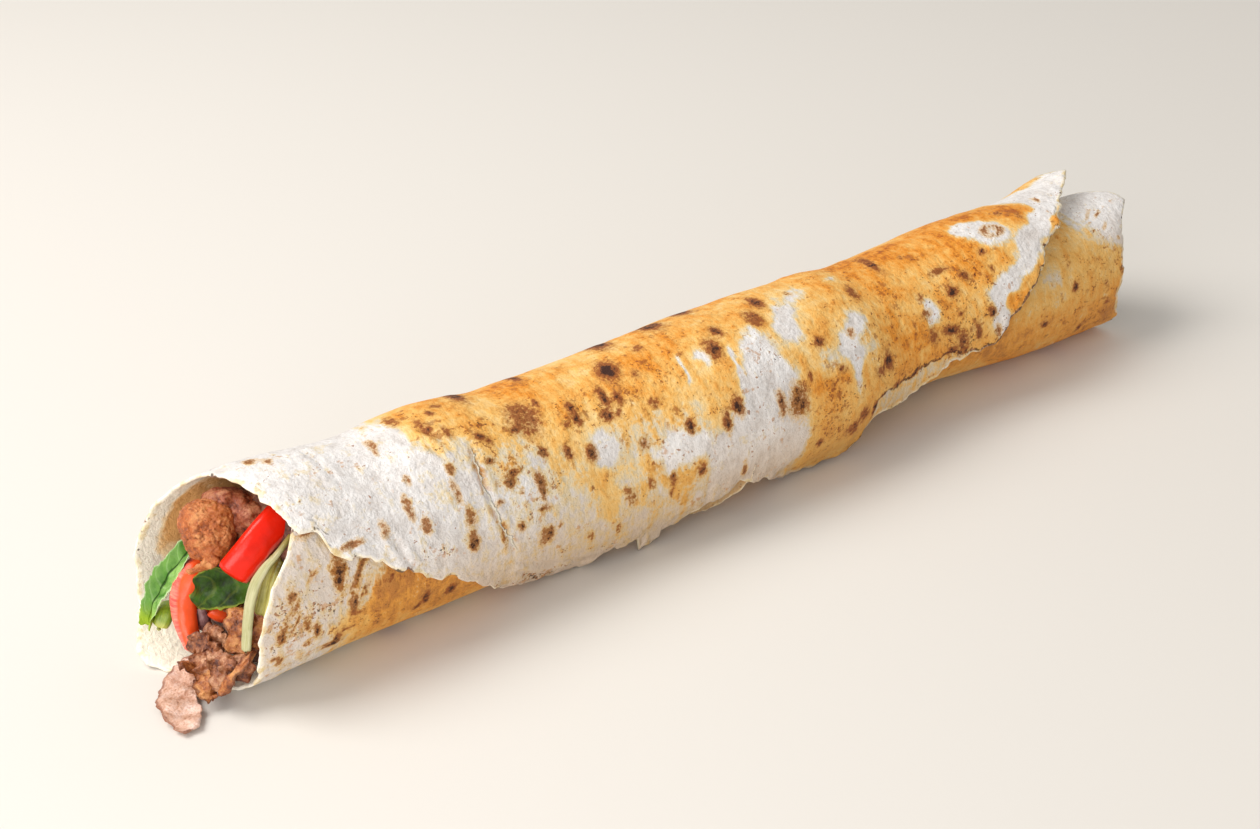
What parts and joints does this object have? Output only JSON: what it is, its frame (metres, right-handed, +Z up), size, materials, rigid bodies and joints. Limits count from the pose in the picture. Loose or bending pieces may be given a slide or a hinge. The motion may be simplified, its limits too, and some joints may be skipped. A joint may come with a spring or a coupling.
{
  "type": "doner kebab wrap",
  "caption": "Long flatbread roll with an open, slanted mouth that shows shaved meat, sweet pepper, leaves and cabbage shreds; its outer flap ends in a ragged free edge.",
  "frame": {"origin": "on the resting plane, under the middle of the whole piece's box", "axes": "+X along the roll away from its open mouth, +Y towards the side without the free edge of the flap, +Z up"},
  "size_m": [0.3849, 0.0656, 0.0602],
  "materials": {
    "flatbread": "baked thin flatbread: floury white, toasted gold and scorched brown in patches",
    "shaved_meat": "roast shaved meat, brown with crisp darker edges, slightly greasy",
    "browned_meat": "browned meat, orange brown, fine grained and slightly greasy",
    "pale_meat": "thin pinkish slice of meat with a browned rim, slightly greasy",
    "pepper": "raw sweet red pepper, wet and glossy",
    "leaf_light": "fresh green leaf with pale veins, satin",
    "leaf_dark": "dark green leaf with a pale ragged edge, satin",
    "cabbage": "raw white cabbage, pale yellow green, moist",
    "onion": "raw onion, greyish pink, moist"
  },
  "bodies": {
    "root": {"flatbread": "flatbread", "shaved_meat": "shaved_meat", "meat_ball": "browned_meat", "fallen_slice": "pale_meat", "pepper_upper": "pepper", "pepper_lower": "pepper", "pepper_end": "pepper", "leaf_folded": "leaf_light", "leaf_stalk": "leaf_light", "leaf_dark": "leaf_dark", "cabbage_shred": "cabbage", "shred_broad": "cabbage", "onion_bit": "onion"}
  },
  "joints": []
}
